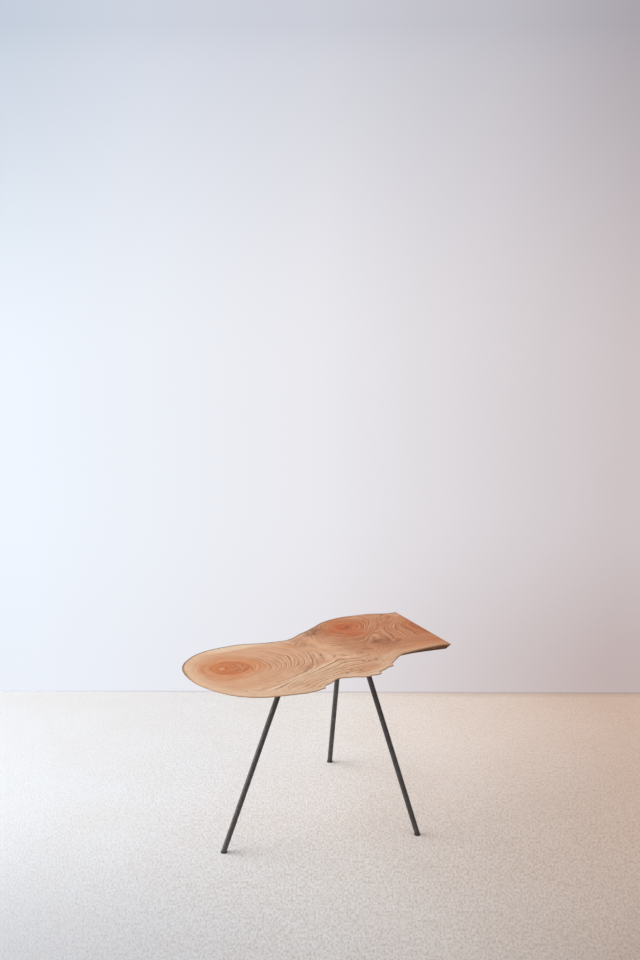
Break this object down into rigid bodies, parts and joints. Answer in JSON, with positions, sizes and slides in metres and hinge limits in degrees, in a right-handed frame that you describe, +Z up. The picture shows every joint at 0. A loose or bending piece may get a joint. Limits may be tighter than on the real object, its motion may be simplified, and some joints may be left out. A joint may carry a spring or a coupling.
{
  "type": "slab side table",
  "caption": "Low side table: a peanut-shaped live-edge wood slab with one sawn end, on slim splayed round steel rods that are bolted on through welded plates.",
  "frame": {"origin": "on the floor, at the middle of the table's footprint box", "axes": "+Z up; +X along the slab, from its round lobe to its sawn end; +Y towards the back leg's side"},
  "size_m": [0.694, 0.4658, 0.435],
  "materials": {
    "slab_wood": "sanded and oiled end grain, satin",
    "rod_steel": "blackened and waxed, satin",
    "plate_steel": "blackened and waxed, satin",
    "weld_steel": "blackened weld, satin",
    "bolt_steel": "black oxide",
    "washer_zinc": "zinc plated",
    "insert_brass": "machined",
    "pad_rubber": "matt"
  },
  "bodies": {
    "root": {"slab_top": "slab_wood", "leg_rod_left": "rod_steel", "weld_bead_left": "weld_steel", "mount_plate_left": "plate_steel", "foot_pad_left": "pad_rubber", "bolt_left_1": "bolt_steel", "washer_left_1": "washer_zinc", "insert_left_1": "insert_brass", "bolt_left_2": "bolt_steel", "washer_left_2": "washer_zinc", "insert_left_2": "insert_brass", "bolt_left_3": "bolt_steel", "washer_left_3": "washer_zinc", "insert_left_3": "insert_brass", "leg_rod_right": "rod_steel", "weld_bead_right": "weld_steel", "mount_plate_right": "plate_steel", "foot_pad_right": "pad_rubber", "bolt_right_1": "bolt_steel", "washer_right_1": "washer_zinc", "insert_right_1": "insert_brass", "bolt_right_2": "bolt_steel", "washer_right_2": "washer_zinc", "insert_right_2": "insert_brass", "bolt_right_3": "bolt_steel", "washer_right_3": "washer_zinc", "insert_right_3": "insert_brass", "leg_rod_back": "rod_steel", "weld_bead_back": "weld_steel", "mount_plate_back": "plate_steel", "foot_pad_back": "pad_rubber", "bolt_back_1": "bolt_steel", "washer_back_1": "washer_zinc", "insert_back_1": "insert_brass", "bolt_back_2": "bolt_steel", "washer_back_2": "washer_zinc", "insert_back_2": "insert_brass", "bolt_back_3": "bolt_steel", "washer_back_3": "washer_zinc", "insert_back_3": "insert_brass"}
  },
  "joints": []
}
